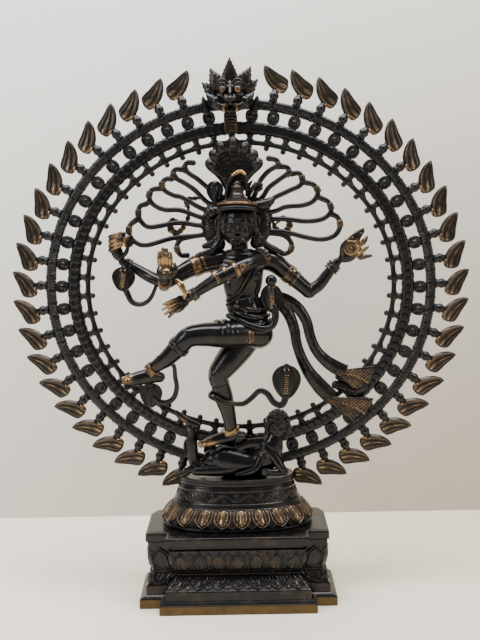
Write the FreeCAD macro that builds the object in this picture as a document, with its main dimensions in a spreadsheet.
"""Cast-brass nataraja statue: a dancing figure in an oval ring of flames on a two-tier lotus pedestal.

Frame: millimetres, +Z up, origin on the floor under the middle of the pedestal, front towards -Y.
The figure's landmarks are given from the middle of the deck, the oval top on which it dances.
"""
import FreeCAD, Part
import math
import os

import Sketcher
from FreeCAD import Placement, Rotation, Vector

os.makedirs("parts", exist_ok=True)
doc = FreeCAD.newDocument("nataraja_statue")

# ---------------------------------------------------------------- driving dimensions (mm)
DRIVING = {
    "plinth_height": (13.8, "flat plate that rests on the floor"),
    "plinth_wing_half_width": (138.7, "plate, outermost"),
    "plinth_wing_half_depth": (62, "plate behind the projecting panels"),
    "plinth_panel_half_width": (109, "projecting panel, front and back"),
    "plinth_panel_half_depth": (88, "plate, foremost"),
    "pedestal_offset": (-11.3, "middle of the pedestal, sideways from the middle of the ring"),
    "corner_cut": (24, "the rear corners of the wings are cut back"),
    "step_in": (5, "plate to fascia, front and back"),
    "fascia_in": (8.5, "plate to fascia, at the sides"),
    "fascia_height": (18.2, "straight band above the plate"),
    "lower_lotus_height": (17.3, "petalled slope under the neck"),
    "lower_lotus_wing_in": (10.5, "fascia to neck on the wings"),
    "lower_lotus_panel_in": (18.5, "fascia to neck on the panels"),
    "neck_height": (4, "narrow band between the two lotus slopes"),
    "upper_lotus_height": (41.2, "petalled wall over the neck"),
    "cornice_overhang": (4, "cornice plate beyond the petalled wall"),
    "cornice_height": (13.3, "plate that closes the lower pedestal"),
    "cornice_wing_half_width": (128, "cornice plate, wings"),
    "cornice_wing_half_depth": (57.5, "cornice plate, wings"),
    "cornice_panel_half_width": (98.4, "cornice plate, panels"),
    "cornice_panel_half_depth": (84, "cornice plate, panels"),
    "pedestal_wall": (9, "wall left round the hollow of the casting at the neck"),
    "cushion_height": (34.2, "round lotus cushion"),
    "cushion_half_width": (109.5, "lotus cushion, widest"),
    "cushion_half_depth": (68, "lotus cushion, widest"),
    "band_height": (26, "tapering band engraved with scrolls"),
    "band_half_width": (90.5, "band at its foot"),
    "band_half_depth": (54, "band at its foot"),
    "deck_height": (9, "plate on which the figure stands"),
    "deck_half_width": (81.5, "deck plate at its top edge"),
    "deck_half_depth": (46, "deck plate at its top edge"),
    "bolt_radius": (3, "M6 bolts"),
    "bolt_length": (35, "under the head"),
    "bolt_head_radius": (5.5, "hexagon head, across corners over two"),
    "bolt_head_height": (4, "hexagon head"),
    "washer_radius": (8, "washer under each head"),
    "washer_thickness": (1.6, "washer under each head"),
    "bolt_hole_clearance": (0.4, "hole radius over bolt radius in the cornice"),
    "pedestal_bolt_half_span": (62, "bolts of the lotus pedestal, sideways from the middle"),
    "ring_plane": (10, "middle plane of the ring behind the pedestal's middle"),
    "ring_squash": (15, "every hoop is this much less high than wide, per half"),
    "ring_foot_height": (4.5, "gap from the deck to the outermost hoop, filled by the foot"),
    "ring_foot_half_width": (34, "foot plate under the hoops"),
    "ring_foot_depth": (16, "foot plate under the hoops"),
    "tenon_half_span": (22, "the two tenons of the foot, sideways from the middle"),
    "tenon_radius": (4, "tenons let into the deck"),
    "tenon_length": (12, "tenons let into the deck"),
    "outer_hoop_radius": (277.8, "outer edge, sideways"),
    "outer_hoop_width": (16.4, "corded hoop, across the band"),
    "outer_hoop_depth": (13, "corded hoop, front to back"),
    "roundel_gap": (14.8, "between the outer and the middle hoop, filled by the roundels"),
    "middle_hoop_width": (19.1, "braided hoop, across the band"),
    "middle_hoop_depth": (13, "braided hoop, front to back"),
    "post_gap": (6.5, "between the middle and the inner hoop, bridged by the posts"),
    "inner_hoop_width": (7, "plain inner hoop"),
    "inner_hoop_depth": (7, "plain inner hoop"),
    "hoop_edge_round": (3, "rounded edges of the two wide hoops"),
    "roundel_depth": (9, "disc spacers between the hoops"),
    "post_radius": (4.2, "posts between the middle and inner hoops"),
    "bead_radius": (4, "beads on the inner hoop"),
    "flame_stem_radius": (4.5, "stem of each flame"),
    "flame_stem_length": (14, "stem of each flame, off the outer hoop"),
    "flame_ball_radius": (7, "ball half way up the stem"),
    "flame_length": (33, "flame leaf, from the stem out to its tip"),
    "flame_width": (38, "flame leaf, tip to heel along the ring"),
    "flame_depth": (10, "flame leaf, thickest"),
    "mask_offset": (-10.2, "the mask hangs this far off the ring's middle, over the pedestal's"),
    "mask_half_width": (30, "lion mask at the cheeks"),
    "mask_half_height": (24, "lion mask"),
    "mask_depth": (17, "lion mask, front to back over two"),
    "mask_crown_height": (55, "leaf crown above the middle of the mask"),
    "tongue_length": (36, "panel that hangs from the jaw over the hoops"),
    "tongue_half_width": (9.5, "panel that hangs from the jaw"),
    "tongue_depth": (5, "panel that hangs from the jaw"),
    "figure_offset": (-4.8, "the figure, sideways from the middle of the ring"),
    "figure_lean": (0.0183, "sideways lean of the figure to the viewer's right, per unit of height"),
    "head_half_width": (22, "head without ornaments"),
    "head_half_depth": (23, "head without ornaments"),
    "neck_radius": (11.5, "neck"),
    "chest_half_width": (33, "chest at the shoulders"),
    "waist_half_width": (22, "waist"),
    "pelvis_half_width": (29, "hips"),
    "trunk_half_depth": (20, "chest, front to back over two"),
    "upper_arm_radius": (12.5, "upper arms at the shoulder"),
    "elbow_radius": (10, "elbows"),
    "wrist_radius": (6.5, "wrists"),
    "hand_thickness": (5.5, "hands, over two"),
    "thigh_radius": (21, "thighs at the top"),
    "knee_radius": (15, "knees"),
    "calf_radius": (13.5, "calves"),
    "ankle_radius": (8.6, "ankles"),
    "foot_radius": (8, "feet, over two"),
    "bangle_thickness": (3, "bands worn on limbs, over the skin"),
    "hair_radius": (3.7, "rods of matted hair"),
    "cobra_radius": (4, "bodies of the cobras"),
    "hood_thickness": (4.5, "cobra hoods, over two"),
    "sash_width": (18, "flying ends of the waist sash"),
    "sash_thickness": (5, "flying ends of the waist sash"),
}

sheet = doc.addObject("Spreadsheet::Sheet", "sizes")
for row, (alias, (amount, meaning)) in enumerate(DRIVING.items(), start=1):
    sheet.set(f"A{row}", alias)
    sheet.set(f"B{row}", str(amount))
    sheet.setAlias(f"B{row}", alias)
    sheet.set(f"C{row}", meaning)
doc.recompute()


class Size:
    """A length together with the sheet expression that gives it, so that sums of sizes stay bound."""

    def __init__(self, value, text=None):
        self.value = float(value)
        self.text = repr(float(value)) if text is None else text

    def _with(self, other, sign, value):
        return Size(value, f"({self.text} {sign} {as_size(other).text})")

    def __add__(self, other):
        return self._with(other, "+", self.value + as_size(other).value)

    def __sub__(self, other):
        return self._with(other, "-", self.value - as_size(other).value)

    def __mul__(self, other):
        return self._with(other, "*", self.value * as_size(other).value)

    def __truediv__(self, other):
        return self._with(other, "/", self.value / as_size(other).value)

    def __neg__(self):
        return Size(-self.value, f"(0 - {self.text})")

    def __float__(self):
        return self.value


def as_size(amount):
    return amount if isinstance(amount, Size) else Size(amount)


class Sheet:
    """Reads a driving dimension from the sheet by its name."""

    def __getattr__(self, alias):
        return Size(sheet.get(alias), f"sizes.{alias}")


s = Sheet()

# ---------------------------------------------------------------- heights of the stacked tiers
fascia_foot = s.plinth_height
fascia_top = fascia_foot + s.fascia_height
neck_foot = fascia_top + s.lower_lotus_height
neck_top = neck_foot + s.neck_height
cornice_foot = neck_top + s.upper_lotus_height
cornice_top = cornice_foot + s.cornice_height
band_foot = cornice_top + s.cushion_height
deck_foot = band_foot + s.band_height
deck_top = deck_foot + s.deck_height
ring_centre = deck_top + s.ring_foot_height + s.outer_hoop_radius - s.ring_squash
middle_hoop_radius = s.outer_hoop_radius - s.outer_hoop_width - s.roundel_gap
inner_hoop_radius = middle_hoop_radius - s.middle_hoop_width - s.post_gap
Y_PLANE = s.ring_plane
TILT = math.degrees(math.atan(s.figure_lean.value))

nodes = []


# ---------------------------------------------------------------- ways of making a piece
def bind(thing, **sizes):
    """Set each named length of an object and tie it to the sheet."""
    for name, amount in sizes.items():
        amount = as_size(amount)
        setattr(thing, name, amount.value)
        thing.setExpression(name, amount.text)
    return thing


def primitive(kind, place=None, **sizes):
    """A Part primitive with bound sizes at a Placement."""
    thing = bind(doc.addObject(f"Part::{kind}", kind.lower()), **sizes)
    if place is not None:
        thing.Placement = place
    return thing


def keep(label, thing):
    """Register an object as a piece of the statue under its own name."""
    thing.Label = label
    nodes.append(thing)
    return thing


def fused(pieces):
    """One solid out of several overlapping ones."""
    if len(pieces) == 1:
        return pieces[0]
    joined = doc.addObject("Part::MultiFuse", "fused")
    joined.Shapes = pieces
    return joined


def grouped(pieces):
    """Separate solids that belong to one node."""
    group = doc.addObject("Part::Compound", "group")
    group.Links = pieces
    return group


def cut(base, tool):
    trimmed = doc.addObject("Part::Cut", "cut")
    trimmed.Base = base
    trimmed.Tool = tool
    return trimmed


def facing(direction):
    """Rotation that turns +Z to a direction and keeps +X as level as it can."""
    along = Vector(direction).normalize()
    side = Vector(0, 0, 1).cross(along)
    if side.Length < 0.05:
        side = Vector(1, 0, 0)
    side = side - along * side.dot(along)
    side.normalize()
    return Rotation(side, along.cross(side), along, "ZXY")


def spot(x, y, z):
    """A landmark of the figure, given from the middle of the deck."""
    lean = s.figure_lean.value
    return Vector(x + z * lean + s.figure_offset.value, y, z - x * lean + deck_top.value)


def oval(place, half_x, half_y):
    """An ellipse of bound half axes; the greater one may be either."""
    turn = as_size(half_y).value > as_size(half_x).value
    ring = doc.addObject("Part::Ellipse", "oval")
    ring.Placement = place * Placement(Vector(), Rotation(Vector(0, 0, 1), 90 if turn else 0))
    major, minor = (half_y, half_x) if turn else (half_x, half_y)
    ring.MajorRadius = max(ring.MajorRadius.Value, as_size(major).value) + 1
    return bind(ring, MinorRadius=minor, MajorRadius=major)


def lofted(sections, ruled=False):
    skin = doc.addObject("Part::Loft", "skin")
    skin.Sections = sections
    skin.Solid = True
    skin.Ruled = ruled
    return skin


def stack(layers, ruled=False):
    """A solid through level ovals: (x, y, z, half width, half depth) each; z is a height or a Size."""
    sections = []
    for x, y, z, half_x, half_y in layers:
        level = oval(Placement(Vector(x, y, float(z)), Rotation()), half_x, half_y)
        if isinstance(z, Size):
            level.setExpression("Placement.Base.z", z.text)
        sections.append(level)
    return lofted(sections, ruled)


def limb(stations, flat=1.0, ruled=False):
    """A rounded limb through (landmark, radius) stations; flat under 1 thins it along its level axis."""
    points = [place for place, _ in stations]
    sections = []
    for index, (place, radius) in enumerate(stations):
        before = points[max(index - 1, 0)]
        after = points[min(index + 1, len(points) - 1)]
        frame = Placement(place, facing(after - before))
        sections.append(oval(frame, as_size(radius) * flat, radius))
    return lofted(sections, ruled)


def rod(points, radius, tip=None, steps=4):
    """A rod of one radius, or tapering to a tip, through landmarks joined by a smooth curve."""
    radius = as_size(radius)
    tip = radius if tip is None else as_size(tip)
    route = smooth(points, steps)
    last = len(route) - 1
    widths = [radius + (tip - radius) * (index / last) for index in range(last + 1)]
    return limb(list(zip(route, widths)), ruled=True)


def smooth(points, steps):
    """Points on a Catmull-Rom curve through the given ones."""
    ends = [points[0] * 2 - points[1]] + points + [points[-1] * 2 - points[-2]]
    route = []
    for before, start, end, after in zip(ends, ends[1:], ends[2:], ends[3:]):
        for step in range(steps):
            u = step / steps
            route.append((start * 2 + (end - before) * u + (before * 2 - start * 5 + end * 4 - after) * u ** 2
                          + (start * 3 - before - end * 3 + after) * u ** 3) * 0.5)
    return route + [points[-1]]


def ball(place, radius, height=None, depth=None, turn=Rotation()):
    """A ball, or an ellipsoid with its own half height (up) and half depth (front to back)."""
    radius = as_size(radius)
    return primitive("Ellipsoid", Placement(place, turn), Radius1=height or radius, Radius2=radius,
                     Radius3=depth or radius)


def collar(place, direction, radius, width):
    """A band worn round a limb: a short tube over the skin."""
    outside = as_size(radius) + s.bangle_thickness
    seat = Placement(place, facing(direction)) * Placement(Vector(0, 0, -as_size(width).value / 2),
                                                           Rotation())
    shell = primitive("Cylinder", seat, Radius=outside, Height=width)
    core = primitive("Cylinder", seat, Radius=radius, Height=width)
    return cut(shell, core)


def plate(label_points, thickness, front):
    """A flat upright plate: (x, z) corners of its outline from the deck's middle, its front face at y."""
    corners = [spot(x, front, z) for x, z in label_points]
    outline = Part.makePolygon(corners + corners[:1])
    base = doc.addObject("Part::Feature", "outline")
    base.Shape = Part.Face(outline)
    thick = doc.addObject("Part::Extrusion", "plate")
    thick.Base = base
    thick.DirMode = "Custom"
    thick.Dir = Vector(0, 1, 0)
    thick.Solid = True
    return bind(thick, LengthFwd=thickness)


def cross_outline(body, name, z, wing_x, wing_y, panel_x, panel_y, corner):
    """A level outline with wings at the sides, panels at front and back and cut rear corners."""
    sketch = body.newObject("Sketcher::SketchObject", name)
    floor_plane = next(item for item in body.Origin.OriginFeatures if item.Role == "XY_Plane")
    sketch.AttachmentSupport = [(floor_plane, "")]
    sketch.MapMode = "FlatFace"
    sketch.AttachmentOffset = Placement(Vector(s.pedestal_offset.value, 0, as_size(z).value), Rotation())
    sketch.setExpression("AttachmentOffset.Base.x", s.pedestal_offset.text)
    sketch.setExpression("AttachmentOffset.Base.z", as_size(z).text)
    right = [(panel_x, -panel_y), (panel_x, -wing_y), (wing_x, -wing_y), (wing_x, wing_y - corner),
             (wing_x - corner, wing_y), (panel_x, wing_y), (panel_x, panel_y)]
    corners = right + [(-x, y) for x, y in reversed(right)]
    ends = [Vector(x.value, y.value, 0) for x, y in corners]
    for start, end in zip(ends, ends[1:] + ends[:1]):
        sketch.addGeometry(Part.LineSegment(start, end), False)
    for index, (x, y) in enumerate(corners):
        following = (index + 1) % len(corners)
        sketch.addConstraint(Sketcher.Constraint("Coincident", index, 2, following, 1))
        for kind, amount in (("DistanceX", x), ("DistanceY", y)):
            number = sketch.addConstraint(Sketcher.Constraint(kind, -1, 1, index, 1, amount.value))
            sketch.setExpression(f"Constraints[{number}]", amount.text)
    return sketch


def tier(body, levels):
    """A loft through cross outlines, straight from each level to the next."""
    sketches = [cross_outline(body, f"outline_{number}", *level) for number, level in enumerate(levels)]
    slope = body.newObject("PartDesign::AdditiveLoft", "slope")
    slope.Profile = sketches[0]
    slope.Sections = sketches[1:]
    slope.Ruled = True
    return slope


# ---------------------------------------------------------------- lower pedestal
def lower_pedestal():
    """Plinth plate, the petalled casting above it and the cornice plate that closes it."""
    plinth = doc.addObject("PartDesign::Body", "plinth_blank")
    plate_outline = (s.plinth_wing_half_width, s.plinth_wing_half_depth, s.plinth_panel_half_width,
                     s.plinth_panel_half_depth, s.corner_cut)
    tier(plinth, [(Size(0), *plate_outline), (s.plinth_height, *plate_outline)])
    hollow_x = s.plinth_panel_half_width - s.fascia_in - s.lower_lotus_panel_in - s.pedestal_wall
    hollow_y = s.plinth_wing_half_depth - s.step_in - s.pedestal_wall
    hollow_corner = Vector((s.pedestal_offset - hollow_x).value, -hollow_y.value, 0)
    hollow = primitive("Box", Placement(hollow_corner, Rotation()),
                       Length=hollow_x * 2, Width=hollow_y * 2, Height=cornice_foot)
    keep("base_plinth", cut(plinth, hollow))

    casting = doc.addObject("PartDesign::Body", "casting_blank")
    fascia = (s.plinth_wing_half_width - s.fascia_in, s.plinth_wing_half_depth - s.step_in,
              s.plinth_panel_half_width - s.fascia_in, s.plinth_panel_half_depth - s.step_in, s.corner_cut)
    neck = (fascia[0] - s.lower_lotus_wing_in, fascia[1] - s.lower_lotus_wing_in / 2,
            fascia[2] - s.lower_lotus_panel_in, fascia[3] - s.lower_lotus_panel_in, s.corner_cut)
    top = (s.cornice_wing_half_width - s.cornice_overhang, s.cornice_wing_half_depth - s.cornice_overhang,
           s.cornice_panel_half_width - s.cornice_overhang, s.cornice_panel_half_depth - s.cornice_overhang,
           s.corner_cut)
    belly = [foot * 0.3 + head * 0.7 for foot, head in zip(neck, top)]
    tier(casting, [(fascia_foot, *fascia), (fascia_top, *fascia), (neck_foot, *neck), (neck_top, *neck),
                   (neck_top + s.upper_lotus_height * 0.45, *belly), (cornice_foot, *top)])
    keep("pedestal_casting", cut(casting, hollow))

    cornice = doc.addObject("PartDesign::Body", "cornice_blank")
    edge = (s.cornice_wing_half_width, s.cornice_wing_half_depth, s.cornice_panel_half_width,
            s.cornice_panel_half_depth, s.corner_cut)
    tier(cornice, [(cornice_foot, *edge), (cornice_top, *edge)])
    holes = [primitive("Cylinder", Placement(Vector(x, 0, cornice_foot.value), Rotation()),
                       Radius=s.bolt_radius + s.bolt_hole_clearance, Height=s.cornice_height)
             for x in bolt_places()]
    keep("pedestal_cornice", cut(cornice, grouped(holes)))


def bolt_places():
    """Sideways places of the three bolts."""
    middle, half_span = s.pedestal_offset.value, s.pedestal_bolt_half_span.value
    return [middle - half_span, middle, middle + half_span]


def pedestal_fasteners():
    """Bolts from beneath that hold the lotus pedestal down on the cornice."""
    bolts, washers = [], []
    for x in bolt_places():
        under = Vector(x, 0, cornice_foot.value)
        head_drop = s.washer_thickness + s.bolt_head_height
        shank = primitive("Cylinder", Placement(under - Vector(0, 0, s.washer_thickness.value), Rotation()),
                          Radius=s.bolt_radius, Height=s.bolt_length)
        head = primitive("Prism", Placement(under - Vector(0, 0, head_drop.value), Rotation()),
                         Circumradius=s.bolt_head_radius, Height=s.bolt_head_height)
        bolts.append(fused([shank, head]))
        seat = Placement(under - Vector(0, 0, s.washer_thickness.value), Rotation())
        disc = primitive("Cylinder", seat, Radius=s.washer_radius, Height=s.washer_thickness)
        eye = primitive("Cylinder", seat, Radius=s.bolt_radius + s.bolt_hole_clearance,
                        Height=s.washer_thickness)
        washers.append(cut(disc, eye))
    keep("pedestal_bolts", grouped(bolts))
    keep("pedestal_washers", grouped(washers))


# ---------------------------------------------------------------- lotus pedestal
def lotus_pedestal():
    """Cushion of petals, engraved band and deck, oval in plan."""
    x, y = s.cushion_half_width, s.cushion_half_depth
    middle = s.pedestal_offset.value
    cushion = stack([(middle, 0, cornice_top, x - 4, y - 4),
                     (middle, 0, cornice_top + s.cushion_height * 0.25, x, y),
                     (middle, 0, cornice_top + s.cushion_height * 0.55, x - 4, y - 4),
                     (middle, 0, band_foot, s.band_half_width + 2, s.band_half_depth + 2)])
    sockets = [primitive("Cylinder", Placement(Vector(place, 0, cornice_top.value), Rotation()),
                         Radius=s.bolt_radius,
                         Height=s.bolt_length - s.cornice_height - s.washer_thickness)
               for place in bolt_places()]
    keep("lotus_cushion", cut(cushion, grouped(sockets)))
    keep("scroll_band", stack([(middle, 0, band_foot, s.band_half_width, s.band_half_depth),
                               (middle, 0, deck_foot, s.deck_half_width + 1, s.deck_half_depth + 1)], True))
    deck = stack([(middle, 0, deck_foot, s.deck_half_width + 1, s.deck_half_depth + 1),
                  (middle, 0, deck_top, s.deck_half_width, s.deck_half_depth)], True)
    tenon_holes = [primitive("Cylinder", place, Radius=s.tenon_radius, Height=s.tenon_length)
                   for place in tenon_seats()]
    keep("pedestal_deck", cut(deck, grouped(tenon_holes)))


def tenon_seats():
    """Feet of the two holes in the deck that take the ring's tenons."""
    depth = deck_top.value - s.tenon_length.value
    return [Placement(Vector(side * s.tenon_half_span.value, Y_PLANE.value, depth), Rotation())
            for side in (-1, 1)]


# ---------------------------------------------------------------- ring of flames
def round_the_ring(radius, angle):
    """A point on the oval of a given sideways half width, and the direction that points out there."""
    a = as_size(radius).value
    b = a - s.ring_squash.value
    turn = math.radians(angle)
    reach = a * b / math.hypot(b * math.cos(turn), a * math.sin(turn))
    flat = Vector(reach * math.cos(turn), 0, reach * math.sin(turn))
    outward = Vector(flat.x / a ** 2, 0, flat.z / b ** 2).normalize()
    return flat + Vector(0, Y_PLANE.value, ring_centre.value), outward


def disc_of_oval(half_width, depth):
    """An upright oval disc, centred in the ring's plane."""
    upright = Placement(Vector(0, Y_PLANE.value, ring_centre.value), Rotation(Vector(1, 0, 0), 90))
    thick = doc.addObject("Part::Extrusion", "disc")
    thick.Base = oval(upright, half_width, half_width - s.ring_squash)
    thick.DirMode = "Custom"
    thick.Dir = Vector(0, 1, 0)
    thick.Solid = True
    thick.Symmetric = True
    return bind(thick, LengthFwd=depth)


def hoop(label, radius, width, depth, edge_round):
    band = cut(disc_of_oval(radius, depth), disc_of_oval(radius - width, depth))
    if edge_round is None:
        return keep(label, band)
    doc.recompute()
    rims = [number for number, edge in enumerate(band.Shape.Edges, start=1)
            if edge.isClosed() and abs(edge.BoundBox.YLength) < 0.01]
    softened = doc.addObject("Part::Fillet", "softened")
    softened.Base = band
    softened.Edges = [(number, edge_round.value, edge_round.value) for number in rims]
    return keep(label, softened)


def along_ring(count, first, last):
    return [first + (last - first) * index / (count - 1) for index in range(count)]


def ring_of_flames():
    """Three hoops, the pieces between them and the flames outside them."""
    hoop("outer_hoop", s.outer_hoop_radius, s.outer_hoop_width, s.outer_hoop_depth, s.hoop_edge_round)
    hoop("middle_hoop", middle_hoop_radius, s.middle_hoop_width, s.middle_hoop_depth, s.hoop_edge_round)
    hoop("inner_hoop", inner_hoop_radius, s.inner_hoop_width, s.inner_hoop_depth, None)

    gap = s.roundel_gap
    roundels = []
    for angle in along_ring(50, -TILT, 352.8 - TILT):
        middle, _ = round_the_ring(middle_hoop_radius + gap / 2, angle)
        back = middle + Vector(0, s.roundel_depth.value / 2, 0)
        roundels.append(primitive("Cylinder", Placement(back, Rotation(Vector(1, 0, 0), 90)),
                                  Radius=gap / 2, Height=s.roundel_depth))
    keep("roundel_spacers", grouped(roundels))

    posts, beads = [], []
    for angle in along_ring(52, 3.5 - TILT, 356.577 - TILT):
        foot, outward = round_the_ring(inner_hoop_radius, angle)
        posts.append(primitive("Cylinder", Placement(foot, facing(outward)), Radius=s.post_radius,
                               Height=s.post_gap))
        middle, _ = round_the_ring(inner_hoop_radius - s.inner_hoop_width - s.bead_radius * 0.8, angle)
        beads.append(ball(middle, s.bead_radius))
    keep("inner_posts", grouped(posts))
    keep("bead_finials", grouped(beads))

    stems, leaves = [], []
    rights = along_ring(22, 80.2 - TILT, -71.0 - TILT)
    lefts = along_ring(21, 107.7 - TILT, 251.7 - TILT)
    for lean, angles in ((1, rights), (-1, lefts)):
        leaf = flame_leaf(lean)
        for angle in angles:
            foot, outward = round_the_ring(s.outer_hoop_radius, angle)
            turn = facing(outward)
            stem = primitive("Cylinder", Placement(foot, turn), Radius=s.flame_stem_radius,
                             Height=s.flame_stem_length)
            middle = foot + outward * s.flame_stem_length.value / 2
            stems.append(fused([stem, ball(middle, s.flame_ball_radius, turn=turn)]))
            tangent = Vector(outward.z, 0, -outward.x)
            root = foot + outward * s.flame_stem_length.value
            upright = Rotation(tangent, Vector(0, 1, 0), outward, "ZXY")
            copy = leaf.copy()
            copy.Placement = Placement(root, upright)
            leaves.append(copy)
    keep("flame_stems", grouped(stems))
    flames = doc.addObject("Part::Feature", "flames")
    flames.Shape = Part.makeCompound(leaves)
    keep("flame_leaves", flames)


def flame_leaf(lean):
    """A wide leaf on its stem's end at the origin, up along +Z: a round heel and a tip swept to one side."""
    length, width, depth = s.flame_length.value, s.flame_width.value, s.flame_depth.value
    shares = [(0, -0.03), (0.22, -0.1), (0.34, 0), (0.47, 0.25), (0.42, 0.44), (0.15, 0.62), (-0.26, 0.75),
              (-0.53, 1), (-0.51, 0.7), (-0.46, 0.43), (-0.29, 0.15), (-0.16, -0.03)]
    corners = [Vector(lean * across * width, -depth / 2, up * length) for across, up in shares]
    return Part.Face(Part.makePolygon(corners + corners[:1])).extrude(Vector(0, depth, 0))


def ring_foot():
    """Plate between the deck and the outer hoop with two tenons let into the deck."""
    half, depth = s.ring_foot_half_width, s.ring_foot_depth
    corner = Vector(-half.value, Y_PLANE.value - depth.value / 2, deck_top.value)
    block = primitive("Box", Placement(corner, Rotation()), Length=half * 2, Width=depth,
                      Height=s.ring_foot_height + 3)
    tenons = [primitive("Cylinder", place, Radius=s.tenon_radius, Height=s.tenon_length)
              for place in tenon_seats()]
    bed = disc_of_oval(s.outer_hoop_radius, depth)
    keep("ring_foot", fused([cut(block, bed)] + tenons))


def lion_mask():
    """Mask at the head of the ring: face, leaf crown, two lugs and the panel from its jaw."""
    crest, _ = round_the_ring(s.outer_hoop_radius, 90)
    front = Y_PLANE.value - s.outer_hoop_depth.value / 2
    x = s.mask_offset.value
    middle = Vector(x, front - 2, crest.z)
    hoops = [disc_of_oval(s.outer_hoop_radius, s.outer_hoop_depth),
             disc_of_oval(middle_hoop_radius, s.middle_hoop_depth)]
    face = ball(middle, s.mask_half_width, s.mask_half_height, s.mask_depth)
    keep("mask_face", cut(face, hoops[0]))
    leaves = []
    for lean in (-2, -1, 0, 1, 2):
        reach = s.mask_crown_height * (1 - 0.12 * abs(lean))
        base = middle + Vector(lean * 9, 4, 8)
        tip = Rotation(Vector(0, 1, 0), lean * 25).multVec(Vector(0, 0, 1))
        leaves.append(primitive("Cone", Placement(base, facing(tip)), Radius1=9, Radius2=1.5,
                                Height=reach - 8))
    crown = fused(leaves)
    keep("mask_crown", cut(cut(crown, face), hoops[0]))
    lugs = []
    for side in (-1, 1):
        place = middle + Vector(side * (s.mask_half_width.value + 6), 6, -2)
        lugs.append(ball(place, 6, 11, 7))
    keep("mask_lugs", cut(cut(grouped(lugs), hoops[0]), face))
    corner = Vector(x - s.tongue_half_width.value, front - s.tongue_depth.value,
                    crest.z - s.mask_half_height.value * 0.55 - s.tongue_length.value)
    panel = primitive("Box", Placement(corner, Rotation()), Length=s.tongue_half_width * 2,
                      Width=s.tongue_depth, Height=s.tongue_length)
    keep("mask_tongue_panel", cut(panel, face))


# ---------------------------------------------------------------- dancing figure
def trunk():
    """Torso from the neck to the seat, in level ovals that sway with the dance."""
    depth = s.trunk_half_depth
    layers = [(-1, -29, 313, s.neck_radius + 3, s.neck_radius),
              (0, -29, 305, s.chest_half_width * 0.9, depth * 0.8),
              (2, -29, 288, s.chest_half_width * 0.9, depth),
              (2, -29, 270, s.chest_half_width * 0.8, depth * 0.9),
              (1.5, -29, 257, s.waist_half_width, depth * 0.8),
              (4, -29, 243, s.waist_half_width * 1.12, depth * 0.9),
              (10, -29, 226, s.pelvis_half_width * 0.95, depth),
              (13, -29, 209, s.pelvis_half_width, depth * 1.08),
              (10, -29, 192, s.pelvis_half_width * 0.72, depth * 0.8)]
    placed = []
    for x, y, z, half_x, half_y in layers:
        middle = spot(x, y, z)
        placed.append((middle.x, middle.y, middle.z, half_x, half_y))
    return keep("torso", stack(placed))


def head():
    """Neck, head, crown and the ornaments round them."""
    neck = limb([(spot(-1, -29, 311), s.neck_radius), (spot(-3, -31, 334), s.neck_radius * 0.95)])
    skull = ball(spot(-5, -34, 354), s.head_half_width, 28, s.head_half_depth)
    keep("head", fused([neck, skull]))
    keep("crown", stack([(x, y, z, half, half) for x, y, z, half in
                         [(*spot(-5, -32, 382), 25), (*spot(-5, -32, 388), 23), (*spot(-5, -32, 396), 17),
                          (*spot(-5, -32, 401), 9), (*spot(-4, -32, 408), 8), (*spot(-4, -32, 413), 7)]],
                          True))
    arch = rod([spot(-19, -26, 398), spot(-18, -26, 414), spot(-11, -26, 425), spot(-4, -26, 429),
                spot(3, -26, 425), spot(8, -26, 414), spot(8, -26, 398)], 3)
    keep("crown_loop", arch)
    keep("cobra_crest", fused([limb([(spot(-8, -17, 392), 7), (spot(-9, -16, 415), 8),
                                     (spot(-10, -15, 432), 11)]),
                               plate([(-21, 424), (-46, 438), (-41, 453), (-31, 466), (-15, 475), (6, 468),
                                      (19, 457),
                                      (27, 442), (4, 424), (-8, 415)], 9, -19)]))
    small_cobra = fused([limb([(spot(-34, -21, 379), 4), (spot(-36, -21, 392), 5)]),
                         ball(spot(-36, -21, 405), 11, 13, 4)])
    keep("hair_ornaments", grouped([small_cobra, ball(spot(15, -21, 405), 7, 9, 5)]))
    keep("earrings", grouped([ball(spot(24, -33, 333), 6.5, 7, 5), ball(spot(-34, -33, 333), 5, 6, 4)]))
    keep("necklace", stack([(*spot(0, -32, 299), 24, 24), (*spot(-1, -32, 308), 20, 21),
                            (*spot(-2, -31, 315), 13, 14)]))


HAIR_LEFT = [
    [(-15, 390), (-47, 407), (-60, 418), (-72, 426), (-77, 432), (-74, 439), (-68, 441), (-61, 437)],
    [(-15, 380), (-43, 378), (-64, 406), (-77, 413), (-88, 418), (-93, 425), (-90, 430), (-83, 431)],
    [(-15, 372), (-50, 374), (-80, 392), (-94, 396), (-106, 403), (-108, 413), (-103, 418), (-98, 419)],
    [(-15, 362), (-50, 364), (-83, 375), (-106, 376), (-121, 383), (-126, 393), (-124, 403), (-112, 406)],
    [(-15, 356), (-54, 352), (-87, 358), (-124, 352), (-136, 358), (-141, 368), (-140, 379), (-132, 384)],
    [(-15, 350), (-54, 340), (-94, 335), (-131, 326), (-147, 332), (-153, 343), (-153, 353), (-146, 362)],
    [(-15, 345), (-54, 341), (-72, 338), (-83, 335), (-88, 327), (-88, 319), (-83, 313), (-76, 312)],
]
HAIR_RIGHT = [
    [(0, 380), (17, 393), (26, 415), (38, 429), (51, 436), (47, 443), (38, 445)],
    [(0, 376), (27, 391), (38, 406), (55, 419), (65, 426), (62, 432), (55, 434)],
    [(0, 372), (36, 385), (47, 393), (66, 402), (81, 410), (83, 419), (79, 425), (72, 425)],
    [(0, 366), (43, 373), (62, 380), (85, 382), (100, 388), (105, 400), (100, 409), (91, 413)],
    [(0, 360), (40, 363), (62, 363), (90, 360), (111, 362), (123, 372), (121, 385), (111, 392)],
    [(0, 352), (36, 347), (62, 345), (90, 338), (111, 334), (128, 339), (136, 351), (134, 364), (126, 370)],
    [(0, 346), (47, 343), (62, 339), (70, 328), (68, 319), (61, 315), (56, 316)],
]


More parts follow.
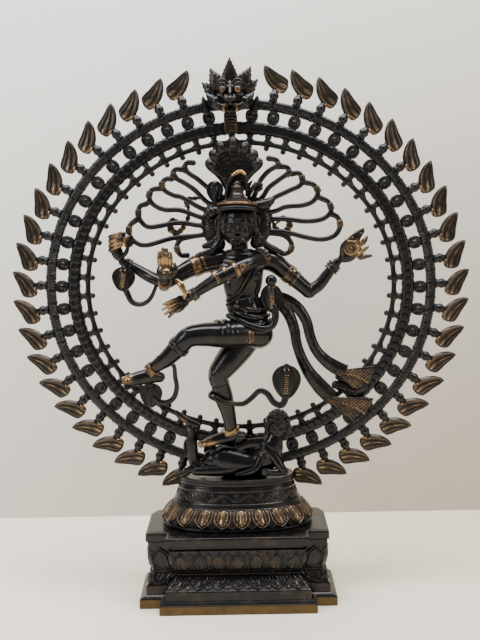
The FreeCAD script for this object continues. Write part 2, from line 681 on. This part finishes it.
def hair():
    """Matted locks that fly out on both sides of the head and curl at their ends."""
    for label, locks, side in (("hair_locks_right", HAIR_LEFT, -1), ("hair_locks_left", HAIR_RIGHT, 1)):
        rods = [rod([spot(x, -15, z) for x, z in lock], s.hair_radius, steps=2) for lock in locks]
        hub = ball(spot(-8 + side * 22, -15, 364), 26, 30, 7)
        keep(label, grouped(rods + [hub]))
    curls = [[(-60, 392), (-76, 389), (-74, 380), (-74, 370), (-78, 356), (-86, 345), (-94, 351),
              (-99, 358)],
             [(30, 388), (40, 373), (44, 356), (50, 348), (59, 347), (63, 356), (56, 363), (49, 360)]]
    ribbons = [rod([spot(x, -11, z) for x, z in curl], 3, steps=2) for curl in curls]
    keep("hair_ribbons", grouped(ribbons))


def arms():
    """Four arms: right ones with the drum and in blessing, left ones with the flame and across the chest."""
    shoulder, elbow, wrist = s.upper_arm_radius, s.elbow_radius, s.wrist_radius
    keep("right_upper_arm", limb([(spot(-26, -27, 307), shoulder), (spot(-48, -29, 304), shoulder),
                                  (spot(-70, -34, 296), shoulder * 0.95), (spot(-104, -41, 277), elbow)]))
    drum_forearm = limb([(spot(-108, -38, 275), elbow * 0.9), (spot(-126, -27, 284), elbow * 0.85),
                               (spot(-148, -22, 296), wrist * 1.15), (spot(-164, -19, 304), wrist)])
    drum_hand = limb([(spot(-162, -19, 303), wrist), (spot(-172, -19, 316), 8.5), (spot(-179, -19, 330), 8),
                      (spot(-182, -19, 345), 4)], 0.7)
    keep("drum_forearm", fused([drum_forearm, drum_hand]))
    keep("hand_drum", fused([
        primitive("Cone", Placement(spot(-163, -25, 338), facing(Vector(-6, -1, 3))), Radius1=3.5,
                  Radius2=8, Height=11),
        primitive("Cone", Placement(spot(-163, -25, 338), facing(Vector(6, 1, -3))), Radius1=3.5, Radius2=8,
                  Height=11)]))
    blessing_forearm = limb([(spot(-104, -44, 276), elbow * 0.9), (spot(-104, -58, 274), elbow * 0.8),
                             (spot(-102, -75, 282), wrist)])
    blessing_hand = limb([(spot(-102, -73, 280), wrist * 0.8), (spot(-101, -77, 292), s.hand_thickness),
                          (spot(-101, -79, 302), s.hand_thickness),
                          (spot(-100, -80, 314), s.hand_thickness * 0.8),
                          (spot(-100, -80, 324), s.hand_thickness * 0.5)], 1.8)
    keep("blessing_forearm", fused([blessing_forearm, blessing_hand]))
    keep("gilded_ribbon", rod([spot(-84, -73, 280), spot(-79, -77, 272), spot(-73, -77, 262)], 3.2))
    keep("left_upper_arm", limb([(spot(26, -27, 308), shoulder), (spot(44, -25, 304), shoulder),
                                 (spot(64, -23, 289), shoulder * 0.9), (spot(95, -21, 263), elbow)]))
    flame_forearm = limb([(spot(95, -21, 263), elbow), (spot(108, -21, 272), elbow * 0.9),
                          (spot(122, -21, 290), wrist * 1.2), (spot(133, -21, 304), wrist)])
    flame_hand = limb([(spot(132, -21, 303), wrist), (spot(143, -21, 310), 9), (spot(156, -21, 318), 11),
                       (spot(170, -21, 316), 8), (spot(178, -21, 306), 4)], 0.6)
    keep("flame_forearm", fused([flame_forearm, flame_hand]))
    keep("palm_flame", limb([(spot(152, -21, 326), 7), (spot(158, -21, 336), 9), (spot(166, -21, 342), 6),
                             (spot(171, -21, 350), 2.5)], 0.7))
    crossing_arm = limb([(spot(26, -36, 308), shoulder * 0.9), (spot(6, -56, 302), shoulder * 0.9),
                               (spot(-24, -70, 288), elbow), (spot(-48, -71, 274), elbow * 0.8),
                               (spot(-70, -71, 259), wrist)])
    pointing_hand = limb([(spot(-69, -71, 260), wrist), (spot(-80, -70, 254), 8.5),
                          (spot(-90, -69, 250), 8),
                          (spot(-104, -69, 246), 4)], 0.7)
    keep("crossing_arm", fused([crossing_arm, pointing_hand]))


def worn_bands():
    """Armlets, bracelets, anklets and knee bands, each a pair or set of tubes round the limbs."""
    keep("armlets", grouped([collar(spot(-59, -31.5, 300), Vector(-22, -4, -8), s.upper_arm_radius + 0.1,
                                    12),
                             collar(spot(64, -23, 289), Vector(25, 2, -20), s.upper_arm_radius * 0.92, 9),
                             collar(spot(-24, -70, 288), Vector(-27, -8, -14), s.elbow_radius + 0.6, 8)]))
    keep("bracelets", grouped([collar(spot(-157, -20.5, 300), Vector(-16, -3, 8), s.wrist_radius + 0.5, 8),
                               collar(spot(-102, -72, 280), Vector(1, -16, 7), s.wrist_radius + 0.5, 6),
                               collar(spot(127, -21, 297), Vector(11, 0, 14), s.wrist_radius + 0.9, 9),
                               collar(spot(-64, -71, 263), Vector(-22, 0, -15), s.wrist_radius + 0.7, 9)]))
    keep("anklets", grouped([collar(spot(-15, -23, 72), Vector(0, 1, 30), s.ankle_radius + 0.2, 8),
                             collar(spot(-122, -51, 159), Vector(-23, 8, -18), s.ankle_radius + 0.2, 8)]))
    keep("knee_bands", grouped([collar(spot(-22, -52, 208), Vector(-32, -12, 0), s.knee_radius + 2.5, 16),
                                collar(spot(-84, -65, 190), Vector(-15, 6, -16), s.calf_radius - 0.3, 8)]))


def legs():
    """Standing right leg, raised left leg swung across the body, and their feet."""
    thigh, knee, calf, ankle = s.thigh_radius, s.knee_radius, s.calf_radius, s.ankle_radius
    standing_leg = limb([(spot(8, -26, 200), thigh), (spot(-6, -30, 182), thigh * 0.95),
                               (spot(-20, -36, 165), thigh * 0.85), (spot(-31, -38, 149), knee),
                               (spot(-29, -32, 134), calf), (spot(-25, -27, 117), calf),
                               (spot(-19, -24, 96), ankle * 1.15),
                               (spot(-15, -23, 76), ankle), (spot(-14, -23, 58), ankle)])
    standing_foot = limb([(spot(2, -17, 57), s.foot_radius * 0.9),
                          (spot(-14, -22, 58), s.foot_radius * 1.15),
                                (spot(-32, -27, 55), s.foot_radius * 1.1),
                                (spot(-48, -31, 52), s.foot_radius * 0.9),
                                (spot(-60, -34, 49), s.foot_radius * 0.4)], 0.9)
    keep("standing_leg", fused([standing_leg, standing_foot]))
    raised_leg = limb([(spot(24, -31, 205), thigh), (spot(-2, -44, 207), thigh * 0.93),
                             (spot(-26, -55, 207), thigh * 0.84), (spot(-50, -64, 208), thigh * 0.8),
                             (spot(-71, -69, 205), knee), (spot(-86, -66, 190), calf),
                             (spot(-102, -60, 174), calf * 0.85),
                             (spot(-118, -53, 162), ankle * 1.05), (spot(-126, -50, 152), ankle)])
    raised_foot = limb([(spot(-112, -47, 145), s.foot_radius * 0.9),
                        (spot(-124, -50, 149), s.foot_radius * 1.2),
                              (spot(-138, -53, 148), s.foot_radius),
                              (spot(-150, -56, 147), s.foot_radius * 0.8),
                              (spot(-161, -57, 146), s.foot_radius * 0.4)], 0.9)
    keep("raised_leg", fused([raised_leg, raised_foot]))


def dress():
    """Chest band, belt with its clasp, and the two flying ends of the sash with their fans."""
    keep("chest_band", rod([spot(30, -40, 304), spot(18, -50, 290), spot(2, -51, 276), spot(-14, -46, 262),
                            spot(-22, -36, 252)], 3.5, steps=2))
    belt = stack([(*spot(8, -29.5, 226), s.pelvis_half_width + 2.5, s.trunk_half_depth + 3.5),
                  (*spot(12, -29.5, 214), s.pelvis_half_width + 3, s.trunk_half_depth + 4)])
    keep("hip_belt", fused([belt, ball(spot(14, -53, 212), 9, 6, 4)]))
    sash_y = -17
    upper = [(20, 246), (40, 254), (59, 255), (79, 241), (93, 221), (98, 193), (111, 171), (132, 155),
             (150, 151)]
    lower = [(20, 236), (40, 249), (58, 247), (72, 231), (78, 208), (78, 189), (85, 168), (95, 147),
             (114, 124), (130, 109)]
    fans = [[(150, 158), (186, 157), (180, 140), (171, 128), (146, 134), (140, 144)],
            [(122, 116), (135, 119), (186, 111), (175, 94), (158, 76), (134, 88), (112, 104)]]
    for label, route, fan in (("sash_upper", upper, fans[0]), ("sash_lower", lower, fans[1])):
        keep(label, fused([ribbon_strip(route, sash_y), plate(fan, s.sash_thickness, sash_y)]))


def ribbon_strip(route, front):
    """A flat strip of the sash's width along a route."""
    half = s.sash_width.value / 2
    left, right = [], []
    for index, (x, z) in enumerate(route):
        before = route[max(index - 1, 0)]
        after = route[min(index + 1, len(route) - 1)]
        run = Vector(after[0] - before[0], after[1] - before[1], 0).normalize()
        left.append((x - run.y * half, z + run.x * half))
        right.append((x + run.y * half, z - run.x * half))
    return plate(left + right[::-1], s.sash_thickness, front)


def cobras():
    """Four cobras: on the drum arm, at the waist, on the raised ankle and round the standing calf."""
    thin = s.cobra_radius * 0.55
    arm = rod([spot(-116, -36, 283), spot(-121, -34, 263), spot(-128, -33, 251), spot(-139, -33, 246),
               spot(-150, -33, 250), spot(-156, -33, 262)], thin, s.cobra_radius, steps=2)
    keep("arm_cobra", fused([arm, ball(spot(-162, -33, 281), 17, 17, s.hood_thickness)]))
    waist = rod([spot(-18, -46, 231), spot(-4, -52, 229), spot(15, -53, 225), spot(33, -48, 219),
                 spot(43, -44, 228), spot(43, -43, 240)], thin, s.cobra_radius, steps=2)
    keep("waist_cobra", fused([waist, ball(spot(42, -42, 256), 18, 20, s.hood_thickness),
                               ball(spot(40, -45, 278), 8, 6, 6)]))
    ankle = rod([spot(-110, -68, 178), spot(-97, -60, 172), spot(-92, -48, 160), spot(-91, -42, 146),
                 spot(-89, -41, 132), spot(-94, -39, 116), spot(-104, -39, 111), spot(-114, -39, 114)],
                thin, s.cobra_radius, steps=2)
    keep("ankle_cobra", fused([ankle, ball(spot(-125, -39, 120), 17, 17, s.hood_thickness)]))
    leg = rod([spot(-42, -32, 119), spot(-36, -45, 115), spot(-20, -45, 111), spot(-8, -38, 109),
               spot(1, -35, 107),
               spot(12, -35, 113), spot(25, -35, 125), spot(36, -35, 122), spot(47, -35, 109),
               spot(57, -35, 108),
               spot(63, -35, 118)], thin, s.cobra_radius, steps=2)
    keep("calf_cobra", fused([leg, ball(spot(63, -35, 138), 21, 24, s.hood_thickness)]))


def dwarf():
    """Dwarf who lies under the standing foot, his head raised to the viewer's right."""
    y = -15
    body = limb([(spot(-38, y, 22), 15), (spot(-24, y, 22), 22), (spot(-6, y, 18.5), 18.5),
                 (spot(10, y, 15.5), 15.5),
                 (spot(28, y, 20), 18), (spot(40, y, 32), 18), (spot(44, y, 48), 12)], 0.8)
    heel_rest = limb([(spot(-2, y, 42), 9), (spot(14, y, 48), 9), (spot(30, y, 44), 9)], 0.8)
    keep("dwarf_body", fused([body, heel_rest]))
    keep("dwarf_head", ball(spot(52, y - 4, 76), 16, 19, 16))
    front = limb([(spot(-6, y - 10, 13), 9), (spot(-32, y - 12, 11), 9), (spot(-52, y - 12, 10), 7.5),
                  (spot(-70, y - 12, 8.5), 8)])
    back = limb([(spot(-40, y + 4, 16), 11), (spot(-58, y + 4, 12), 9), (spot(-67, y + 3, 20), 7),
                 (spot(-69, y + 2, 40), 6.5),
                 (spot(-70, y + 2, 62), 6), (spot(-75, y, 74), 6), (spot(-83, y, 83), 3)])
    keep("dwarf_legs", grouped([front, back]))
    near = limb([(spot(36, y - 8, 40), 8), (spot(50, y - 12, 26), 8), (spot(58, y - 16, 12), 7),
                 (spot(44, y - 18, 11), 6.5)])
    far = limb([(spot(30, y - 12, 30), 7), (spot(22, y - 18, 12), 6), (spot(8, y - 18, 6), 5)])
    keep("dwarf_arms", grouped([near, far]))


lower_pedestal()
pedestal_fasteners()
lotus_pedestal()
ring_of_flames()
ring_foot()
lion_mask()
trunk()
head()
hair()
arms()
legs()
worn_bands()
dress()
cobras()
dwarf()

# ---------------------------------------------------------------- check and write
doc.recompute()
faults = [f"{item.Label}: {item.State}" for item in doc.Objects
          if "Invalid" in item.State or "Error" in item.State]
for node in nodes:
    if node.Shape.isNull() or not node.Shape.isValid() or not node.Shape.Solids:
        faults.append(f"{node.Label}: shape null {node.Shape.isNull()}, solids {len(node.Shape.Solids)}")
if faults:
    raise RuntimeError("faulty pieces:\n" + "\n".join(faults))
for node in nodes:
    node.Shape.exportStep(f"parts/{node.Label}.step")
print(f"{len(nodes)} pieces written")
